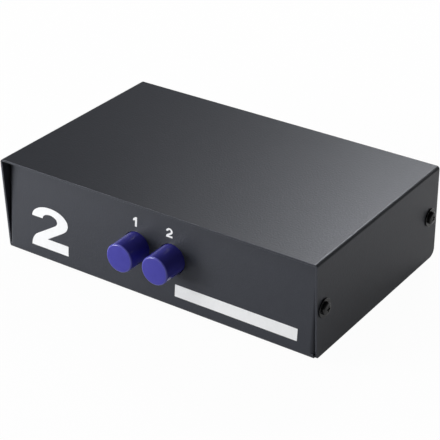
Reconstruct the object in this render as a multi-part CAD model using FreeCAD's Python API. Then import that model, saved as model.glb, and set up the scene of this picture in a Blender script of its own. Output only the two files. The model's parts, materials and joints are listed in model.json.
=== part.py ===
# Two-way composite video and stereo audio switch: a painted sheet steel case with two
# interlocked push buttons in front and nine phono sockets behind. Sizes in millimetres.
# X runs to the right as seen from the front, Y to the back and Z up. While the pieces are
# made, Y is 0 at the middle of the lid and Z is 0 at the underside of the case floor. At
# the end they are moved so that the origin lies under the middle of the whole switch, on
# the surface that it stands on.
import FreeCAD, Part
import math
import os

Vector = FreeCAD.Vector

# Case
cover_width = 133.0
cover_depth = 84.0
cover_height = 36.5          # lid's top face above the underside of the case floor
sheet = 0.8                  # steel of the cover and of the chassis
cover_bend_inside = 0.4
chassis_bend_inside = 0.6
wall_front_slant = 1.8       # the side walls' front edges run back by this much
wall_rear_slant = 0.6        # and their rear edges by this much
wall_front_corner = 1.0
wall_rear_corner = 3.0
panel_top_recess = 3.6       # front panel behind the lid's front edge, at the lid
panel_foot_recess = 0.7      # the same at the case floor
rear_recess = 1.0
side_gap = 0.25              # between the chassis and each side wall
top_gap = 0.4                # between the panels and the lid
flange_depth = 8.0
bend_relief = 0.6            # the side flanges start this far above the floor's bends

# Cover screws, with a washer each
cover_screw_inset = 5.3      # from the lid's front and rear edges
cover_screw_height = 18.2
cover_screw_radius = 1.5
cover_screw_length = 5.0
cover_screw_play = 0.2
cover_head_radius = 2.3
cover_head_height = 1.3
head_chamfer = 0.7           # of every pan head
washer_radius = 3.5
washer_thickness = 0.5
thread_play = 0.05           # between a screw and the thread that holds it
thread_collar_wall = 0.6
thread_collar_length = 1.0

# Rubber feet
foot_radius = 4.5
foot_taper = 0.5
foot_height = 2.0
foot_inset_side = 14.0       # from the cover's side walls
foot_inset_end = 11.0        # from the lid's front and rear edges

# Circuit board on its standoffs
board_side_margin = 7.5      # from the cover's side walls
board_thickness = 1.6
board_corner = 1.5
board_front_margin = 1.7     # in front of the push switch
board_pin_play = 0.2         # around each pin
standoff_height = 8.6
standoff_flats = 5.5         # across the flats of the hexagon
standoff_stud_radius = 1.9   # the stud that is riveted into the floor
standoff_stud_play = 0.05
standoff_bore = 1.3
standoff_inset = 7.0         # from the board's sides
standoff_y = 22.0            # before and behind the lid's middle
board_screw_length = 5.0
board_head_radius = 2.5
board_head_height = 1.6
screw_hole_play = 0.4        # around screws that pass through a hole

# Push buttons
button_pitch = 15.0
button_axis = 18.2           # height of the two button axes
button_travel = 4.0
cap_reach = 10.0             # the middle of the cap's face in front of the panel
cap_tail = 3.4               # the cap's length behind the panel's face
cap_face_radius = 5.42
cap_panel_radius = 5.52      # radius where the cap enters the panel
cap_crown = 0.25
cap_rounding = 0.7
cap_wall = 1.0
cap_face_wall = 1.8
cap_hole_play = 0.3
cap_boss_radius = 3.5
cap_boss_setback = 0.5
cap_rib = 0.9
stem = 4.0                   # square stem of the plunger
stem_play = 0.15
socket_play = 0.03
socket_depth = 7.5

# Push switch: frame, plungers, latch plate and springs
frame_sheet = 0.8
frame_bend_inside = 0.5
frame_clearance = 0.6        # between a pressed cap and the frame
frame_channel = 10.4         # between the frame's two plates
frame_height = 13.8          # above the board
frame_end = 10.5             # from the outer station to the frame's end
cheek_width = 6.0
frame_lug_width = 1.4
pin_tail = 2.0               # pins and lugs reach this far below the board
collar_size = 7.4
collar_thickness = 1.5
slide_fit = 0.05             # running play of the sliding pieces
peg_rise = 0.7               # the peg stands this far above the latch plate
latch_sheet = 0.8
latch_lift = 0.6             # latch plate above the collars
latch_side_play = 0.15
latch_shift = 1.2            # the latch plate's stroke, for a whole stroke of button 1
latch_gap = 0.1              # between the peg and the ramp that it pushes
latch_hook = 0.8             # part of the stroke at which the ramp ends in a hook
latch_back_room = 0.3
latch_shoulder = 11.5        # the plate's shoulder, from the middle
latch_tail_width = 3.0
latch_spring_tail = 1.6      # the tail that carries the latch spring
latch_tail_reach = 2.5       # beyond the frame's end
return_wire = 0.5
return_radius = 3.3
return_turns = 5
latch_wire = 0.3
latch_radius = 1.25
latch_turns = 5
wire_sides = 6

# Switch housings, sliders and contacts
body_width = 10.0
body_length = 28.0
body_lift = 0.5              # above the board
body_above = 5.3             # above the button axis
body_side_wall = 1.0
body_top_wall = 1.4
body_floor = 2.8
slider_play = 0.15
slider_cap = 1.9             # height of the slider's wide top
slider_web = 4.4
slider_length = 21.0
slider_lift = 0.4            # above the housing's floor
slider_start = 0.5           # behind the housing's front
terminal_width = 0.8
terminal_thickness = 0.5
terminal_offset = 3.5        # from the station's middle
terminal_first = 4.0         # first pin behind the housing's front
terminal_rise = 3.3          # above the housing's floor
terminal_count = 6           # in each of two rows
clip_thickness = 0.25
clip_height = 2.0
clip_overlap = 0.6           # the clip reaches this far past the two pins it bridges
clip_gap = 0.1               # between a clip and the pins

# Phono sockets
jack_row_margin = 5.0        # from the cover's side walls to the row of nine
jack_group_gap = 3.0         # extra space between the groups of three
jack_height = 7.4            # socket axes above the board
jack_reach = 9.2             # the sleeve's end behind the rear panel
shell_radius = 4.15
shell_wall = 0.6
shell_seat = 1.0             # depth of each sleeve's seat in the block
shell_neck = 0.2             # the sleeve is this much thinner where block and ring hold it
neck_past_ring = 0.3
ground_sheet = 0.4           # plate between block and panel that joins three sleeves
tail_width = 1.6
tail_thickness = 0.4
ring_width = 0.9             # coloured ring round the sleeve
ring_reach = 1.2
ring_play = 0.05
core_play = 0.05             # between the coloured core and the sleeve
core_setback = 0.6
contact_radius = 2.0
contact_wall = 0.35
contact_play = 0.05          # between the contact and the core's bore
contact_setback = 1.0
panel_jack_play = 0.35       # between the rings and the rear panel's holes
block_margin = 0.3
block_depth = 10.0
block_barrel_wall = 0.8      # the barrels reach this far past the panel's holes
block_rounding = 0.6
block_ear_radius = 3.1
block_screw_rise = 5.9       # above the socket axes
block_screw_radius = 1.25
block_screw_length = 7.0
block_head_radius = 2.3
block_head_height = 1.7

# Worked out from the sizes above
past = 1.0                   # how far a cut runs past the face that it opens
cover_bend = cover_bend_inside + sheet
chassis_bend = chassis_bend_inside + sheet
cover_front = -cover_depth / 2
cover_rear = cover_depth / 2
chassis_half = cover_width / 2 - sheet - side_gap
panel_top = cover_height - sheet - top_gap
flange_foot = chassis_bend + bend_relief
lean = math.atan((panel_top_recess - panel_foot_recess) / cover_height)
panel_step = sheet / math.cos(lean)     # the front panel's thickness along Y
rear_face = cover_rear - rear_recess
rear_inside = rear_face - sheet
screw_ends = [cover_front + cover_screw_inset, cover_rear - cover_screw_inset]
board_bottom = sheet + standoff_height
board_top = board_bottom + board_thickness
jack_axis = board_top + jack_height
jack_pitch = (cover_width - 2 * jack_row_margin - 2 * jack_group_gap) / 9
jack_group_pitch = 3 * jack_pitch + jack_group_gap
neck_radius = shell_radius - shell_neck
neck_bore = neck_radius + ring_play
ring_radius = neck_bore + ring_width
core_radius = shell_radius - shell_wall - core_play
core_bore = contact_radius + contact_play
panel_jack_hole = ring_radius + panel_jack_play
board_half = cover_width / 2 - board_side_margin
standoff_x = board_half - standoff_inset


def panel_y(z):
    """The front panel's outer face at a height."""
    rise = (panel_top_recess - panel_foot_recess) * z / cover_height
    return cover_front + panel_foot_recess + rise


panel_face = panel_y(button_axis)
cap_face = panel_face - cap_reach
cap_end = panel_face + cap_tail
frame_front = cap_end + button_travel + frame_clearance
channel_front = frame_front + frame_sheet
channel_rear = channel_front + frame_channel
body_front = channel_rear + frame_sheet
body_rear = body_front + body_length
body_bottom = board_top + body_lift
body_top = button_axis + body_above
cavity_floor = body_bottom + body_floor
cavity_top = body_top - body_top_wall
collar_front = channel_front + slide_fit
collar_rear = collar_front + collar_thickness
collar_top = button_axis + collar_size / 2
peg_y = (collar_front + collar_rear) / 2
peg_radius = collar_thickness / 2
latch_bottom = collar_top + latch_lift
latch_top = latch_bottom + latch_sheet
frame_half = button_pitch / 2 + frame_end
cheek_inside = frame_half - frame_sheet
stations = [-button_pitch / 2, button_pitch / 2]
terminal_pitch = button_travel
jack_groups = [jack_group_pitch, 0.0, -jack_group_pitch]
jack_offsets = [jack_pitch, 0.0, -jack_pitch]
jack_tip = rear_face + jack_reach
block_rear = rear_inside - ground_sheet
block_front = block_rear - block_depth
shell_start = block_rear - shell_seat
board_front = frame_front - board_front_margin
board_rear = block_rear - board_pin_play
block_screws = [-jack_pitch / 2, jack_pitch / 2]
block_screw_z = jack_axis + block_screw_rise


# Shape helpers
def point(axis, along, u, v):
    """A point from its place along one axis and its other two coordinates, in X, Y, Z order."""
    return {"x": Vector(along, u, v), "y": Vector(u, along, v), "z": Vector(u, v, along)}[axis]


def rounded_wire(corners, radii):
    """A closed flat wire through the corners, each rounded by its own radius."""
    turns = []
    for i, here in enumerate(corners):
        if radii[i] == 0:
            turns.append((here, None, here))
            continue
        back = (corners[i - 1] - here).normalize()
        ahead = (corners[(i + 1) % len(corners)] - here).normalize()
        half = back.getAngle(ahead) / 2
        run = radii[i] / math.tan(half)
        bisector = (back + ahead).normalize()
        middle = here + bisector * (radii[i] / math.sin(half) - radii[i])
        turns.append((here + back * run, middle, here + ahead * run))
    edges = []
    for i, (start, middle, end) in enumerate(turns):
        if middle is not None:
            edges.append(Part.Arc(start, middle, end).toShape())
        following = turns[(i + 1) % len(turns)][0]
        if (following - end).Length > 1e-6:
            edges.append(Part.makeLine(end, following))
    return Part.Wire(edges)


def flat_face(axis, start, corners):
    """A face across an axis; each corner is (u, v) or (u, v, rounding)."""
    places = [point(axis, start, c[0], c[1]) for c in corners]
    return Part.Face(rounded_wire(places, [c[2] if len(c) == 3 else 0 for c in corners]))


def prism(axis, start, length, corners):
    """A face extruded along its axis."""
    return flat_face(axis, start, corners).extrude(point(axis, length, 0, 0))


def turned(axis, u, v, corners):
    """A piece turned about a line along the axis; each corner is (along, radius[, rounding])."""
    places = [point(axis, c[0], u + c[1], v) for c in corners]
    face = Part.Face(rounded_wire(places, [c[2] if len(c) == 3 else 0 for c in corners]))
    return face.revolve(point(axis, 0, u, v), point(axis, 1, 0, 0), 360)


def rod(axis, start, length, radius, u, v):
    return Part.makeCylinder(radius, length, point(axis, start, u, v), point(axis, 1, 0, 0))


def bar(x0, x1, y0, y1, z0, z1):
    return Part.makeBox(x1 - x0, y1 - y0, z1 - z0, Vector(x0, y0, z0))


def upright(x, y, width, depth, z0, z1):
    """A bar that stands on a middle point."""
    return bar(x - width / 2, x + width / 2, y - depth / 2, y + depth / 2, z0, z1)


def joined(shapes):
    return shapes[0].multiFuse(shapes[1:]).removeSplitter()


def frame_of(half, start, end, size=0.0):
    """Corners of an open channel's outline, grown inwards by a wall's thickness."""
    return [(-half + size, end), (-half + size, start), (half - size, start), (half - size, end)]


def with_rounding(corners, chosen, radius):
    return [c + (radius,) if i in chosen else c for i, c in enumerate(corners)]


def pan_head_screw(axis, seat, way, u, v, head, height, shank, length):
    """A screw whose head stands on a seat; way is +1 or -1, the side that its head is on."""
    return turned(axis, u, v, [
        (seat - way * length, 0), (seat - way * length, shank), (seat, shank), (seat, head),
        (seat + way * (height - head_chamfer), head), (seat + way * height, head - head_chamfer),
        (seat + way * height, 0)])


def coil(axis, start, length, radius, wire, turns, u, v):
    """An open helix of many-sided wire, swept along two arcs to every half turn."""
    climb = (length - wire) / (2 * math.pi * turns)

    def on_helix(angle):
        along = start + wire / 2 + climb * angle
        return point(axis, along, u + radius * math.cos(angle), v + radius * math.sin(angle))

    def heading(angle):
        return point(axis, climb, -radius * math.sin(angle), radius * math.cos(angle)).normalize()

    edges = []
    for half_turn in range(2 * turns):
        a, b = half_turn * math.pi, (half_turn + 1) * math.pi
        edges += arc_pair(on_helix(a), heading(a), on_helix(b), heading(b))
    across = point(axis, 0, 1, 0)
    over = heading(0).cross(across)
    angles = [2 * math.pi * k / wire_sides for k in range(wire_sides + 1)]
    section = Part.makePolygon([on_helix(0) + (across * math.cos(a) + over * math.sin(a)) * (wire / 2)
                                for a in angles])
    print(f"spring: {turns} turns, {2 * math.pi * climb - wire:.2f} mm between them")
    return Part.Wire(edges).makePipeShell([section], True, False)


def arc_pair(p0, t0, p1, t1):
    """Two arcs that leave one point and reach another along the given directions."""
    chord, both = p1 - p0, t0 + t1
    a, b, c = both.dot(both) - 4, -2 * chord.dot(both), chord.dot(chord)
    reach = max((-b + s * math.sqrt(b * b - 4 * a * c)) / (2 * a) for s in (1, -1))
    q0, q1 = p0 + t0 * reach, p1 - t1 * reach
    meet = (q0 + q1) * 0.5
    return [tangent_arc(p0, q0, meet), tangent_arc(meet, q1, p1)]


def tangent_arc(start, corner, end):
    """The arc that touches both legs of a corner at their ends."""
    leg = (start - corner).Length
    half = (start - corner).getAngle(end - corner) / 2
    radius = leg * math.tan(half)
    inward = ((start + end) * 0.5 - corner).normalize()
    middle = corner + inward * (radius / math.sin(half) - radius)
    return Part.Arc(start, middle, end).toShape()


# Case
def top_cover():
    """Lid and side walls, bent from one sheet. The lid overhangs the panels."""
    half = cover_width / 2
    long = cover_depth + wall_rear_slant
    skin = prism("y", cover_front, long,
                 with_rounding(frame_of(half, cover_height, 0.0), (1, 2), cover_bend))
    hollow = frame_of(half, cover_height - sheet, -past, sheet)
    skin = skin.cut(prism("y", cover_front - past, long + 2 * past,
                          with_rounding(hollow, (1, 2), cover_bend_inside)))
    below_bend = cover_height - cover_bend
    side = prism("x", -half - past, cover_width + 2 * past, [
        (cover_front, cover_height), (cover_front, below_bend),
        (cover_front + wall_front_slant, 0, wall_front_corner),
        (cover_rear + wall_rear_slant, 0, wall_rear_corner),
        (cover_rear, below_bend), (cover_rear, cover_height)])
    skin = skin.common(side)
    for y in screw_ends:
        hole = cover_screw_radius + cover_screw_play
        skin = skin.cut(rod("x", -half - past, cover_width + 2 * past, hole, y, cover_screw_height))
    return skin


def chassis_trough():
    """Floor of the case with the feet of both panels."""
    outer = [(panel_y(flange_foot), flange_foot), (panel_y(0), 0, chassis_bend),
             (rear_face, 0, chassis_bend), (rear_face, flange_foot)]
    high, inside = flange_foot + past, chassis_bend_inside
    inner = [(panel_y(high) + panel_step, high), (panel_y(sheet) + panel_step, sheet, inside),
             (rear_inside, sheet, inside), (rear_inside, high)]
    width = 2 * chassis_half
    return prism("x", -chassis_half, width, outer).cut(prism("x", -chassis_half, width, inner))


def chassis_channel(face_y, way, lean_angle):
    """A panel with its two side flanges, above the floor's bends. It leans back about the
    line where its face meets the floor; way is +1 where the flanges run to the back."""
    low, high = -past, panel_top + past
    flange_end = face_y + way * flange_depth
    outer = frame_of(chassis_half, face_y, flange_end)
    inner = frame_of(chassis_half, face_y + way * sheet, flange_end + way * past, sheet)
    channel = prism("z", low, high - low, with_rounding(outer, (1, 2), chassis_bend)).cut(
        prism("z", low, high - low, with_rounding(inner, (1, 2), chassis_bend_inside)))
    channel.rotate(Vector(0, face_y, 0), Vector(1, 0, 0), -math.degrees(lean_angle))
    band = bar(-chassis_half - past, chassis_half + past, cover_front, cover_rear, flange_foot, panel_top)
    return channel.common(band)


def base_chassis():
    """Floor, leaning front panel and rear panel, with flanges that take the cover screws."""
    thread = cover_screw_radius + thread_play
    collar, inner = thread + thread_collar_wall, chassis_half - sheet
    collars = [rod("x", x, thread_collar_length, collar, y, cover_screw_height)
               for y in screw_ends for x in (-inner, inner - thread_collar_length)]
    panels = [chassis_channel(panel_y(0), 1, lean), chassis_channel(rear_face, -1, 0)]
    body = joined([chassis_trough()] + panels + collars)
    cuts = [rod("x", -chassis_half - past, 2 * (chassis_half + past), thread, y, cover_screw_height)
            for y in screw_ends]
    for x in stations:
        cuts.append(rod("y", panel_face - past, cap_tail, cap_panel_radius + cap_hole_play, x, button_axis))
    start, length = rear_inside - past, sheet + 2 * past
    cuts += [rod("y", start, length, panel_jack_hole, x, jack_axis) for x in jack_places()]
    cuts += [rod("y", start, length, block_screw_radius + screw_hole_play, x, block_screw_z)
             for x in block_screw_places()]
    cuts += [rod("z", -past, sheet + 2 * past, standoff_stud_radius + standoff_stud_play, x, y)
             for x, y in corners_of(standoff_x, standoff_y)]
    return body.cut(Part.makeCompound(cuts))


def corners_of(x, y):
    return [(sx * x, sy * y) for sx in (-1, 1) for sy in (-1, 1)]


def cover_screws():
    seat = cover_width / 2 + washer_thickness
    return [pan_head_screw("x", way * seat, way, y, cover_screw_height, cover_head_radius,
                           cover_head_height, cover_screw_radius, cover_screw_length)
            for way in (-1, 1) for y in screw_ends]


def cover_washers():
    half = cover_width / 2
    hole = cover_screw_radius + cover_screw_play
    return [turned("x", y, cover_screw_height, [
                (way * half, hole), (way * half, washer_radius),
                (way * (half + washer_thickness), washer_radius),
                (way * (half + washer_thickness), hole)])
            for way in (-1, 1) for y in screw_ends]


def rubber_feet():
    places = corners_of(cover_width / 2 - foot_inset_side, cover_rear - foot_inset_end)
    return [turned("z", x, y, [(0, 0), (0, foot_radius), (-foot_height, foot_radius - foot_taper),
                               (-foot_height, 0)]) for x, y in places]


# Circuit board
def circuit_board():
    half, corner = board_half, board_corner
    board = prism("z", board_bottom, board_thickness, [
        (-half, board_front, corner), (half, board_front, corner),
        (half, board_rear, corner), (-half, board_rear, corner)])
    low, high, play = board_bottom - past, board_top + past, board_pin_play
    cuts = [rod("z", low, high - low, standoff_bore + screw_hole_play, x, y)
            for x, y in corners_of(standoff_x, standoff_y)]
    cuts += [upright(x, y, terminal_width + play, terminal_thickness + play, low, high)
             for station in stations for x, y in terminal_places(station)]
    cuts += [upright(x, y, frame_lug_width + play, frame_sheet + play, low, high) for x, y in lug_places()]
    tail_y = block_front - tail_thickness / 2
    cuts += [upright(x, tail_y, tail_width + play, tail_thickness + play, low, high) for x in jack_places()]
    return board.cut(Part.makeCompound(cuts))


def board_standoffs():
    """Hexagonal threaded standoffs, each with a stud riveted into the case floor."""
    reach = standoff_flats / math.sqrt(3)
    hexagon = [(reach * math.cos(k * math.pi / 3), reach * math.sin(k * math.pi / 3)) for k in range(6)]
    return [joined([prism("z", sheet, standoff_height, [(x + a, y + b) for a, b in hexagon]),
                    rod("z", 0, sheet, standoff_stud_radius, x, y)]).cut(
                rod("z", -past, board_bottom + 2 * past, standoff_bore, x, y))
            for x, y in corners_of(standoff_x, standoff_y)]


def board_screws():
    return [pan_head_screw("z", board_top, 1, x, y, board_head_radius, board_head_height,
                           standoff_bore - thread_play, board_screw_length)
            for x, y in corners_of(standoff_x, standoff_y)]


# Phono sockets
def jack_places():
    return [group + x for group in jack_groups for x in jack_offsets]


def block_screw_places():
    return [group + x for group in jack_groups for x in block_screws]


def block_outline(group, start, length):
    """The outline shared by a block and its ground plate: three barrels on a base, and two ears."""
    half = 1.5 * jack_pitch - block_margin
    shape = [prism("y", start, length, [
        (group - half, board_top), (group + half, board_top),
        (group + half, jack_axis, block_rounding), (group - half, jack_axis, block_rounding)])]
    barrel, ear = panel_jack_hole + block_barrel_wall, block_ear_radius
    shape += [rod("y", start, length, barrel, group + x, jack_axis) for x in jack_offsets]
    shape += [rod("y", start, length, ear, group + x, block_screw_z) for x in block_screws]
    shape += [bar(group + x - ear, group + x + ear, start, start + length, jack_axis, block_screw_z)
              for x in block_screws]
    return joined(shape)


def jack_block(group):
    """Moulded body of three sockets, with a seat for each sleeve and a bore for each contact."""
    body = block_outline(group, block_front, block_depth)
    for x in jack_offsets:
        body = body.cut(rod("y", shell_start, shell_seat + past, neck_bore, group + x, jack_axis))
        body = body.cut(rod("y", block_front - past, block_depth, core_bore, group + x, jack_axis))
    start, length = rear_face - block_screw_length - past, block_screw_length + 2 * past
    thread = block_screw_radius + thread_play
    for x in block_screws:
        body = body.cut(rod("y", start, length, thread, group + x, block_screw_z))
    return body


def jack_ground_plates():
    """Thin plates that join each block's three sleeves, with tails down over the board's edge."""
    plates = []
    middle, start, length = block_rear + ground_sheet / 2, block_rear - past, ground_sheet + 2 * past
    screw_hole = block_screw_radius + screw_hole_play
    for group in jack_groups:
        plate = block_outline(group, block_rear, ground_sheet)
        tails = [upright(group + x, middle, tail_width, ground_sheet, board_bottom, jack_axis)
                 for x in jack_offsets]
        holes = [rod("y", start, length, neck_bore, group + x, jack_axis) for x in jack_offsets]
        holes += [rod("y", start, length, screw_hole, group + x, block_screw_z) for x in block_screws]
        plates.append(joined([plate] + tails).cut(Part.makeCompound(holes)))
    return plates


def jack_shells():
    """Metal sleeves that the plugs slide over, necked where the block and the ring hold them."""
    inner, neck_end = shell_radius - shell_wall, rear_face + ring_reach + neck_past_ring
    return [turned("y", x, jack_axis, [
                (shell_start, inner), (shell_start, neck_radius), (neck_end, neck_radius),
                (neck_end, shell_radius), (jack_tip, shell_radius), (jack_tip, inner)])
            for x in jack_places()]


def insulators(offset):
    """The coloured ring round each sleeve and the coloured core inside it, for one signal."""
    pieces = []
    for group in jack_groups:
        x, ring_end, core_end = group + offset, rear_face + ring_reach, jack_tip - core_setback
        pieces.append(turned("y", x, jack_axis, [
            (rear_inside, neck_bore), (rear_inside, ring_radius),
            (ring_end, ring_radius), (ring_end, neck_bore)]))
        pieces.append(turned("y", x, jack_axis, [
            (shell_start, core_bore), (shell_start, core_radius),
            (core_end, core_radius), (core_end, core_bore)]))
    return pieces


def jack_centre_contacts():
    """Tubes that grip a plug's centre pin, each with a tail down through the board."""
    contacts = []
    y, low = block_front - tail_thickness, board_bottom - pin_tail
    for x in jack_places():
        tube = rod("y", y, jack_tip - contact_setback - y, contact_radius, x, jack_axis)
        tail = upright(x, y + tail_thickness / 2, tail_width, tail_thickness, low, jack_axis)
        bore = rod("y", y - past, jack_tip - y + past, contact_radius - contact_wall, x, jack_axis)
        contacts.append(joined([tube, tail]).cut(bore))
    return contacts


def jack_block_screws():
    return [pan_head_screw("y", rear_face, 1, x, block_screw_z, block_head_radius,
                           block_head_height, block_screw_radius, block_screw_length)
            for x in block_screw_places()]


# Push switch
def terminal_places(station):
    first = body_front + terminal_first
    return [(station + side * terminal_offset, first + k * terminal_pitch)
            for side in (-1, 1) for k in range(terminal_count)]


def lug_places():
    middle = frame_front + frame_sheet / 2
    return [(side * (frame_half - frame_lug_width), y)
            for side in (-1, 1) for y in (middle, body_front - frame_sheet / 2)]


def switch_frame():
    """Steel channel across both stations, with cheeks that guide the latch plate's tails."""
    top = board_top + frame_height
    channel = with_rounding([(frame_front, top), (frame_front, board_top), (body_front, board_top),
                             (body_front, top)], (1, 2), frame_bend_inside + frame_sheet)
    inner = with_rounding([(channel_front, top + past), (channel_front, board_top + frame_sheet),
                           (channel_rear, board_top + frame_sheet), (channel_rear, top + past)],
                          (1, 2), frame_bend_inside)
    shape = prism("x", -frame_half, 2 * frame_half, channel)
    shape = shape.cut(prism("x", -frame_half, 2 * frame_half, inner))
    middle = (channel_front + channel_rear) / 2
    half = cheek_width / 2
    cheeks = [bar(x, x + frame_sheet, middle - half, middle + half, board_top, top)
              for x in (-frame_half, cheek_inside)]
    lugs = [upright(x, y, frame_lug_width, frame_sheet, board_bottom - pin_tail, board_top + frame_sheet)
            for x, y in lug_places()]
    shape = joined([shape] + cheeks + lugs)
    window = stem + 2 * stem_play
    for x in stations:
        shape = shape.cut(bar(x - window / 2, x + window / 2, frame_front - past, body_front + past,
                              button_axis - window / 2, button_axis + window / 2))
    for side, width in ((-1, latch_tail_width), (1, latch_spring_tail)):
        reach = width / 2 + slide_fit
        ends = sorted((side * (cheek_inside - past), side * (frame_half + past)))
        shape = shape.cut(bar(ends[0], ends[1], middle - reach, middle + reach,
                              latch_bottom - slide_fit, latch_top + slide_fit))
    return shape


def switch_body(station):
    """Housing of one station: a long moulded box, open towards the frame."""
    half = body_width / 2
    box = prism("y", body_front, body_length, [
        (station - half, body_bottom), (station + half, body_bottom),
        (station + half, body_top, body_side_wall / 2), (station - half, body_top, body_side_wall / 2)])
    inside = half - body_side_wall
    box = box.cut(bar(station - inside, station + inside, body_front - past, body_rear - body_side_wall,
                      cavity_floor, cavity_top))
    feet = [bar(station - half, station + half, y, y + body_side_wall, board_top, body_bottom)
            for y in (body_front, body_rear - body_side_wall)]
    slots = [upright(x, y, terminal_width + slide_fit, terminal_thickness + slide_fit,
                     body_bottom - past, cavity_floor + past) for x, y in terminal_places(station)]
    return joined([box] + feet).cut(Part.makeCompound(slots))


def switch_terminals(station):
    return [upright(x, y, terminal_width, terminal_thickness, board_bottom - pin_tail,
                    cavity_floor + terminal_rise) for x, y in terminal_places(station)]


def plunger(station):
    """Square stem with its collar and latch peg, and the slider that carries the contacts."""
    half = stem / 2
    start = body_front + slider_start
    stem_end = cap_end - socket_depth - cap_boss_setback
    top, low = cavity_top - slider_play, cavity_floor + slider_lift
    wide = body_width / 2 - body_side_wall - slider_play
    web = slider_web / 2
    shape = joined([
        bar(station - half, station + half, stem_end, start, button_axis - half, button_axis + half),
        bar(station - collar_size / 2, station + collar_size / 2, collar_front, collar_rear,
            button_axis - collar_size / 2, collar_top),
        prism("y", start, slider_length, [
            (station - web, low), (station + web, low), (station + web, top - slider_cap),
            (station + wide, top - slider_cap), (station + wide, top),
            (station - wide, top), (station - wide, top - slider_cap), (station - web, top - slider_cap)])])
    peg = rod("z", button_axis, latch_top + peg_rise - button_axis, peg_radius, station, peg_y)
    return joined([shape, peg])


def moving_contacts(station):
    """Bowed clips on both sides of the slider; each bridges two pins and steps by one a stroke."""
    clips = []
    places = [y for x, y in terminal_places(station) if x > station]
    inner = slider_web / 2
    outer = terminal_offset - terminal_width / 2 - clip_gap
    low = cavity_floor + slider_lift + clip_overlap
    for side in (-1, 1):
        for first in (0, terminal_count // 2):
            y0 = places[first] - clip_overlap
            y1 = places[first + 1] + clip_overlap
            middle, quarter = (y0 + y1) / 2, (y1 - y0) / 4
            bow = [(inner, middle - quarter / 2), (outer - clip_thickness, y0), (outer, y0),
                   (outer, y0 + clip_overlap), (inner + clip_thickness, middle - quarter / 3),
                   (inner + clip_thickness, middle + quarter / 3), (outer, y1 - clip_overlap),
                   (outer, y1), (outer - clip_thickness, y1), (inner, middle + quarter / 2)]
            clips.append(prism("z", low, clip_height, [(station + side * x, y) for x, y in bow]))
    return clips


def return_spring(station):
    return coil("y", collar_rear, channel_rear - collar_rear, return_radius, return_wire,
                return_turns, station, button_axis)


def latch_notch(station, slack):
    """Open notch for a peg: a ramp that the peg pushes, ending in a hook that holds the peg."""
    front = channel_front - past
    angle = math.atan(latch_shift / button_travel)
    right = station + (peg_radius + latch_gap) / math.cos(angle) + slack
    left = station - latch_shift - peg_radius - latch_back_room

    def ramp(y):
        return right - latch_shift * (y - peg_y) / button_travel

    hook = peg_y + latch_hook * button_travel
    end = peg_y + button_travel + peg_radius + latch_back_room
    return [(left, front), (ramp(front), front), (ramp(hook), hook),
            (right, hook), (right, end), (left, end)]


def interlock_slide():
    """Latch plate: the pegs push it aside, and its hooks hold a pressed plunger."""
    front, rear = channel_front + latch_side_play, channel_rear - latch_side_play
    middle, wide, thin = (front + rear) / 2, latch_tail_width / 2, latch_spring_tail / 2
    left = cheek_inside - slide_fit
    reach = frame_half + latch_tail_reach
    plate = prism("z", latch_bottom, latch_sheet, [
        (-left, front), (latch_shoulder, front, 1), (latch_shoulder, middle - thin),
        (reach, middle - thin), (reach, middle + thin), (latch_shoulder, middle + thin),
        (latch_shoulder, rear, 1), (-left, rear), (-left, middle + wide), (-reach, middle + wide),
        (-reach, middle - wide), (-left, middle - wide)])
    start, length = latch_bottom - past, latch_sheet + 2 * past
    for station, slack in zip(stations, (0.0, latch_shift)):
        plate = plate.cut(prism("z", start, length, latch_notch(station, slack)))
    return plate


def interlock_spring():
    middle = (channel_front + channel_rear) / 2
    return coil("x", latch_shoulder, cheek_inside - latch_shoulder, latch_radius, latch_wire,
                latch_turns, middle, (latch_bottom + latch_top) / 2)


def cap_outline(station, end_radius):
    """Half section of the cap's outside: a crowned face that rolls into a slightly tapered side."""
    crown_radius = (cap_face_radius ** 2 + cap_crown ** 2) / (2 * cap_crown)
    crown_y = cap_face + crown_radius
    roll_r = cap_face_radius - cap_rounding
    roll_y = crown_y - math.sqrt((crown_radius - cap_rounding) ** 2 - roll_r ** 2)
    share = crown_radius / (crown_radius - cap_rounding)
    join_y, join_r = crown_y - (crown_y - roll_y) * share, roll_r * share
    middle_y = crown_y - math.sqrt(crown_radius ** 2 - join_r ** 2 / 4)
    halfway = cap_rounding * math.sqrt(0.5)

    def at(y, radius):
        return point("y", y, station + radius, button_axis)

    corners = [at(roll_y, cap_face_radius), at(cap_end, end_radius), at(cap_end, 0), at(cap_face, 0)]
    edges = [Part.makeLine(a, b) for a, b in zip(corners, corners[1:])]
    edges.append(Part.Arc(at(cap_face, 0), at(middle_y, join_r / 2), at(join_y, join_r)).toShape())
    edges.append(Part.Arc(at(join_y, join_r), at(roll_y - halfway, roll_r + halfway), corners[0]).toShape())
    return Part.Face(Part.Wire(edges))


def button_cap(station):
    """Round moulded cap, hollow behind, with a ribbed boss that holds the plunger's stem."""
    slope = (cap_panel_radius - cap_face_radius) / (panel_face - cap_face)
    end_radius = cap_panel_radius + slope * cap_tail
    outline = cap_outline(station, end_radius)
    cap = outline.revolve(point("y", 0, station, button_axis), Vector(0, 1, 0), 360)
    inner = cap_face + cap_face_wall
    inner_radius = cap_face_radius + slope * cap_face_wall - cap_wall
    past_end = cap_end + past
    cap = cap.cut(turned("y", station, button_axis, [
        (inner, 0), (inner, inner_radius), (past_end, end_radius + slope * past - cap_wall), (past_end, 0)]))
    boss_end = cap_end - cap_boss_setback
    rib = cap_rib / 2
    wall = cap_face_radius - cap_wall / 2
    low, high = button_axis - wall, button_axis + wall
    hold = [rod("y", inner, boss_end - inner, cap_boss_radius, station, button_axis),
            bar(station - wall, station + wall, inner, boss_end, button_axis - rib, button_axis + rib),
            bar(station - rib, station + rib, inner, boss_end, low, high)]
    half = stem / 2 + socket_play
    socket = bar(station - half, station + half, boss_end - socket_depth, boss_end + past,
                 button_axis - half, button_axis + half)
    return joined([cap] + hold).cut(socket)


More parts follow.
